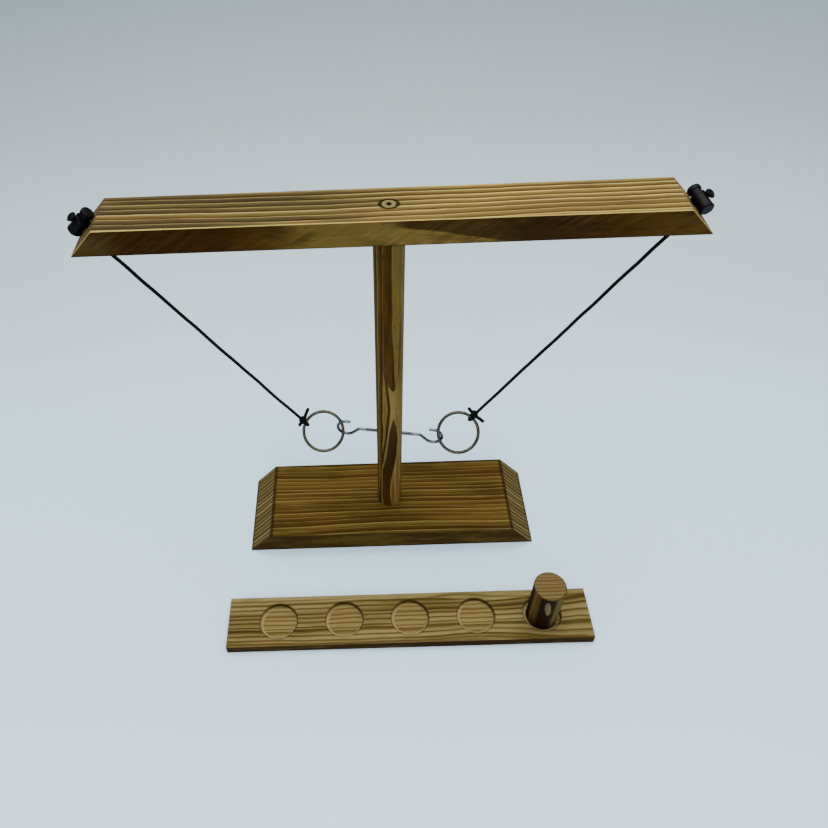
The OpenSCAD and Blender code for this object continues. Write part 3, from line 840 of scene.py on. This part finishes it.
def peg_material():
    """End grain in thin lines on top; brown and black stripes and a pale spot down the side, and painted
    shadow at its foot in the recess.
    """
    s = Pine("torched_peg", "Z", (PEG_AXIS[0], 90), 3.4, sway=1, ripple=0.3, uneven=0.6, shift=21)
    end = s.ramp(s.phase, [(0, "#4f3e1a"), (0.2, "#594726"), (0.5, "#665435"), (0.8, "#6b5a38"),
                           (1, "#4f3e1a")])
    dx, dy = s.math("SUBTRACT", s.x, PEG_AXIS[0]), s.math("SUBTRACT", s.y, PEG_AXIS[1])
    away = s.vector("LENGTH", s.combine(dx, dy, 0.0))
    end = s.mix(s.math("MULTIPLY", s.between(away, 13.2, 14.3), 0.7), end, "#2c210f")
    wander = s.noise(s.place, (0.02, 0.3, 0.3), 2, 0.5, 3)
    u = s.total((dx, 0.9), (dy, -0.44), -1.2, (wander, 2.4))
    side = s.along_ramp(u, [
        (-14.5, "#3a2810"), (-12.8, "#241305"), (-11, "#3b250e"), (-9.6, "#5d4c27"), (-8.2, "#4f3d1a"),
        (-6, "#4c3919"), (-3.6, "#39260e"), (-2.6, "#221305"), (6.5, "#25150a"), (9.4, "#382610"),
        (10.4, "#655431"), (14.5, "#5b4a28"),
    ])
    # Painted shadow down the peg's foot, where it stands in its recess.
    side = s.mix(s.product(s.between(s.z, 24, 10), 0.6), side, "#221004")
    spot = s.vector("LENGTH", s.combine(s.math("DIVIDE", s.total(u, (s.z, 0.12), -9.4), 2.6),
                                        s.math("DIVIDE", s.total(s.z, -45), 12), 0.0))
    side = s.mix(s.math("MULTIPLY", s.between(spot, 1.05, 0.85), 0.9), side, "#6f5f3c")
    return s.finish_wood(s.mix(s.upward, side, end))


# ---- Metal, cord and plastic --------------------------------------------------------------

def metal(name, shade, rough, spots):
    """A metal of one shade with darker spots; rough is its roughness where it is clean."""
    s = Shader(name, Metallic=1.0, Specular_Tint=colour("#000000"))
    dirt = s.noise(s.mm, (0.8, 0.8, 0.8), 4, 0.6)
    base = s.mix(s.between(dirt, 0.45, 0.7), shade, spots)
    scratch = s.noise(s.mm, (3, 3, 3), 3, 0.6, 7)
    return s.finish(base, s.ramp(dirt, [(0.3, rough), (0.7, rough + 0.15)]), scratch, 0.2, 0.03 * MM)


def screw_material():
    """Yellow zinc, with painted shade down in the cross recess."""
    s = Shader("yellow_zinc", Metallic=0.7, Specular_Tint=colour("#403820"))
    x, y, z = s.split(s.mm)
    dirt = s.noise(s.mm, (0.8, 0.8, 0.8), 4, 0.6)
    base = s.mix(s.between(dirt, 0.45, 0.7), "#8a7d52", "#6f6238")
    # deep and the hollow below it: painted shade on the walls of the cross slot and in its round middle.
    deep = s.product(s.between(s.math("ABSOLUTE", z), 369.7, 369.2), s.between(z, 366, 367))
    painted_shade_hollow = s.between(s.vector("LENGTH", s.combine(x, y, 0.0)), 2.3, 1.7)
    base = s.mix(s.product(painted_shade_hollow, s.between(z, 366, 367), 0.9), base, "#241a0c")
    return s.finish(s.mix(deep, base, "#1e150a"), s.ramp(dirt, [(0.3, 0.3), (0.7, 0.45)]), dirt, 0.2,
                    0.03 * MM)


def cord_material():
    s = Shader("black_cord", Specular_IOR_Level=0.12)
    fuzz = s.noise(s.mm, (4, 4, 4), 4, 0.6)
    base = s.ramp(fuzz, [(0.35, "#040303"), (0.6, "#0a0808"), (0.78, "#171412")])
    return s.finish(base, s.ramp(fuzz, [(0.3, 0.9), (0.7, 0.7)]), fuzz, 0.4, 0.12 * MM)


def plastic_material():
    s = Shader("black_moulding", Specular_IOR_Level=0.09)
    spark = s.noise(s.mm, (5, 5, 5), 3, 0.6)
    cloud = s.noise(s.mm, (0.3, 0.3, 0.3), 3, 0.5)
    base = s.mix(s.between(cloud, 0.35, 0.65), "#040303", "#090708")
    return s.finish(base, s.ramp(spark, [(0.3, 0.38), (0.7, 0.52)]), spark, 0.2, 0.05 * MM)


black_cord = cord_material()
black_plastic = plastic_material()
ring_steel = metal("ring_steel", "#4f493a", 0.12, "#1c190f")
zinc = metal("bright_zinc", "#6b7173", 0.16, "#2c3032")
spring_steel = metal("spring_steel", "#8f949a", 0.3, "#767a80")
screw_zinc = screw_material()

for piece in cord_pieces:
    dye(piece, black_cord)
for piece in rings:
    dye(piece, ring_steel)
for piece in hooks:
    dye(piece, zinc)
for piece in springs:
    dye(piece, spring_steel)
NODE_MATERIALS = {
    "crossbar": bar_material(), "base_board": base_material(), "post": post_material(),
    "score_board": board_material(), "score_peg": peg_material(),
    "bar_screw": screw_zinc, "base_screw": screw_zinc,
}
for side in SIDES:
    NODE_MATERIALS[side + "_lock_barrel"] = black_plastic
    NODE_MATERIALS[side + "_lock_button"] = black_plastic
for name, material in NODE_MATERIALS.items():
    dye(nodes[name], material)


# ---- Softened edges -----------------------------------------------------------------------

def soften(name, width):
    """Welds a CAD node's faces together and rounds its edges, by modifiers alone."""
    node = nodes[name]
    weld = node.modifiers.new("weld", "WELD")
    weld.merge_threshold = 0.005 * MM
    bevel = node.modifiers.new("bevel", "BEVEL")
    bevel.width = width
    bevel.segments = 3
    bevel.limit_method = "ANGLE"
    bevel.angle_limit = math.radians(35)
    bevel.harden_normals = False
    shade = node.modifiers.new("normals", "WEIGHTED_NORMAL")
    shade.keep_sharp = False


for name, width in {"crossbar": 0.5 * MM, "base_board": 0.6 * MM, "score_board": 0.3 * MM}.items():
    soften(name, width)


# ---- Floor and light ----------------------------------------------------------------------

def make_floor():
    """A pale table top, with painted shade that darkens it a little far behind the object, in place of the
    light's fall-off.
    """
    half = 6
    floor = add_mesh("floor", [(-half, -half, 0), (half, -half, 0), (half, half, 0), (-half, half, 0)],
                     [(0, 1, 2, 3)], smooth=False)
    s = Shader("pale_floor", Roughness=0.6, Specular_IOR_Level=0.2)
    y = s.split(s.mm)[1]
    cloud = s.noise(s.mm, (0.004, 0.004, 0.004), 2, 0.5)
    # Painted shade: the floor's colour turns darker with distance behind the object, for the light's
    # fall-off.
    painted_falloff = s.total(y, -60, (cloud, 120))
    base = s.along_ramp(painted_falloff, [(-300, "#d2eeff"), (60, "#c6e3f5"), (330, "#bdd2da"), (900, "#b0bfc3")])
    dye(floor, s.finish(base))


def add_light(name, place, target, size, power, shade="#ffffff"):
    data = bpy.data.lights.new(name, "AREA")
    data.shape = "RECTANGLE"
    data.size, data.size_y = size
    data.energy = power
    data.color = colour(shade)[:3]
    light = bpy.data.objects.new(name, data)
    light.location = place
    light.rotation_mode = "QUATERNION"
    light.rotation_quaternion = (Vector(target) - Vector(place)).to_track_quat("-Z", "Y")
    bpy.context.scene.collection.objects.link(light)


def make_world():
    """A bright sky over a dim horizon, which gives the wires their dark edges."""
    world = bpy.data.worlds.new("studio")
    world.use_nodes = True
    tree = world.node_tree
    coords = tree.nodes.new("ShaderNodeTexCoord")
    split = tree.nodes.new("ShaderNodeSeparateXYZ")
    sky = tree.nodes.new("ShaderNodeValToRGB")
    shades = [(0.0, "#6f757a"), (0.12, "#4f5458"), (0.3, "#8d959b"), (0.5, "#e3eaf0"), (1.0, "#f1f6fa")]
    while len(sky.color_ramp.elements) < len(shades):
        sky.color_ramp.elements.new(0.5)
    for element, (at, shade) in zip(sky.color_ramp.elements, shades):
        element.position = at
    for element, (at, shade) in zip(sky.color_ramp.elements, shades):
        element.color = colour(shade)
    tree.links.new(coords.outputs["Generated"], split.inputs[0])
    tree.links.new(split.outputs[2], sky.inputs[0])
    background = tree.nodes["Background"]
    tree.links.new(sky.outputs[0], background.inputs[0])
    background.inputs[1].default_value = 0.9
    bpy.context.scene.world = world


make_floor()
make_world()
add_light("top", (0, 0.15, 1.5), (0, 0, 0), (1.6, 1.2), 36)
add_light("front", (-0.3, -1.6, 1.2), (0, 0, 0.2), (1.2, 0.8), 10)
